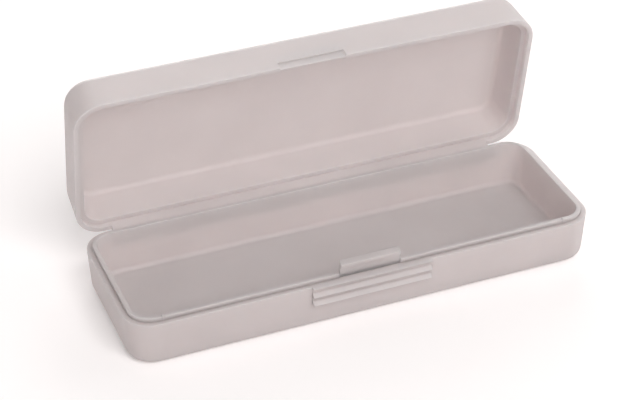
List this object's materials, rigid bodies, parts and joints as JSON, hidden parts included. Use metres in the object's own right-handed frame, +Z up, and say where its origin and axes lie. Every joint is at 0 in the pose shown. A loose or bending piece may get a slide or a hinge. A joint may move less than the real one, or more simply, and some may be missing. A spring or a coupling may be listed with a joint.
{
  "type": "harmonica case",
  "caption": "Slim hinged clamshell box in frosted plastic for a mouth harmonica, with a living hinge behind, a snap tongue and a ribbed thumb grip in front.",
  "frame": {"origin": "middle of the base's flat underside", "axes": "+X along the length, to the right seen from the latch side; -Y towards the latch and the thumb grip, +Y towards the hinge; +Z up out of the base"},
  "size_m": [0.1106, 0.0516, 0.0472],
  "materials": {
    "frosted_base": "frosted translucent polypropylene, fine spark texture",
    "frosted_lid": "frosted translucent polypropylene, fine spark texture",
    "frosted_rim": "frosted translucent polypropylene, smoother and paler at the edges",
    "frosted_hinge": "frosted translucent polypropylene, worked smooth along the fold"
  },
  "bodies": {
    "base": {"base_shell": "frosted_base", "locating_lip": "frosted_rim", "locating_nibs": "frosted_rim", "thumb_grip": "frosted_base", "hinge_rail": "frosted_hinge", "hinge_web": "frosted_hinge", "latch_flexure": "frosted_rim"},
    "lid": {"lid_shell": "frosted_lid", "catch_bar": "frosted_rim", "hinge_flap": "frosted_hinge"},
    "latch": {"latch_tongue": "frosted_rim"}
  },
  "joints": [
    {"name": "lid_hinge", "type": "hinge", "parent": "base", "child": "lid", "pos_m": [0, 0.01905, 0.0085], "axis": [-1, 0, 0], "range_deg": [-80, 50], "deforming": ["hinge_web"]},
    {"name": "latch_flex", "type": "hinge", "parent": "base", "child": "latch", "pos_m": [0, -0.01695, 0.0112], "axis": [-1, 0, 0], "range_deg": [0, 12], "stiffness_Nm_per_rad": 0.06, "deforming": ["latch_flexure"]}
  ]
}
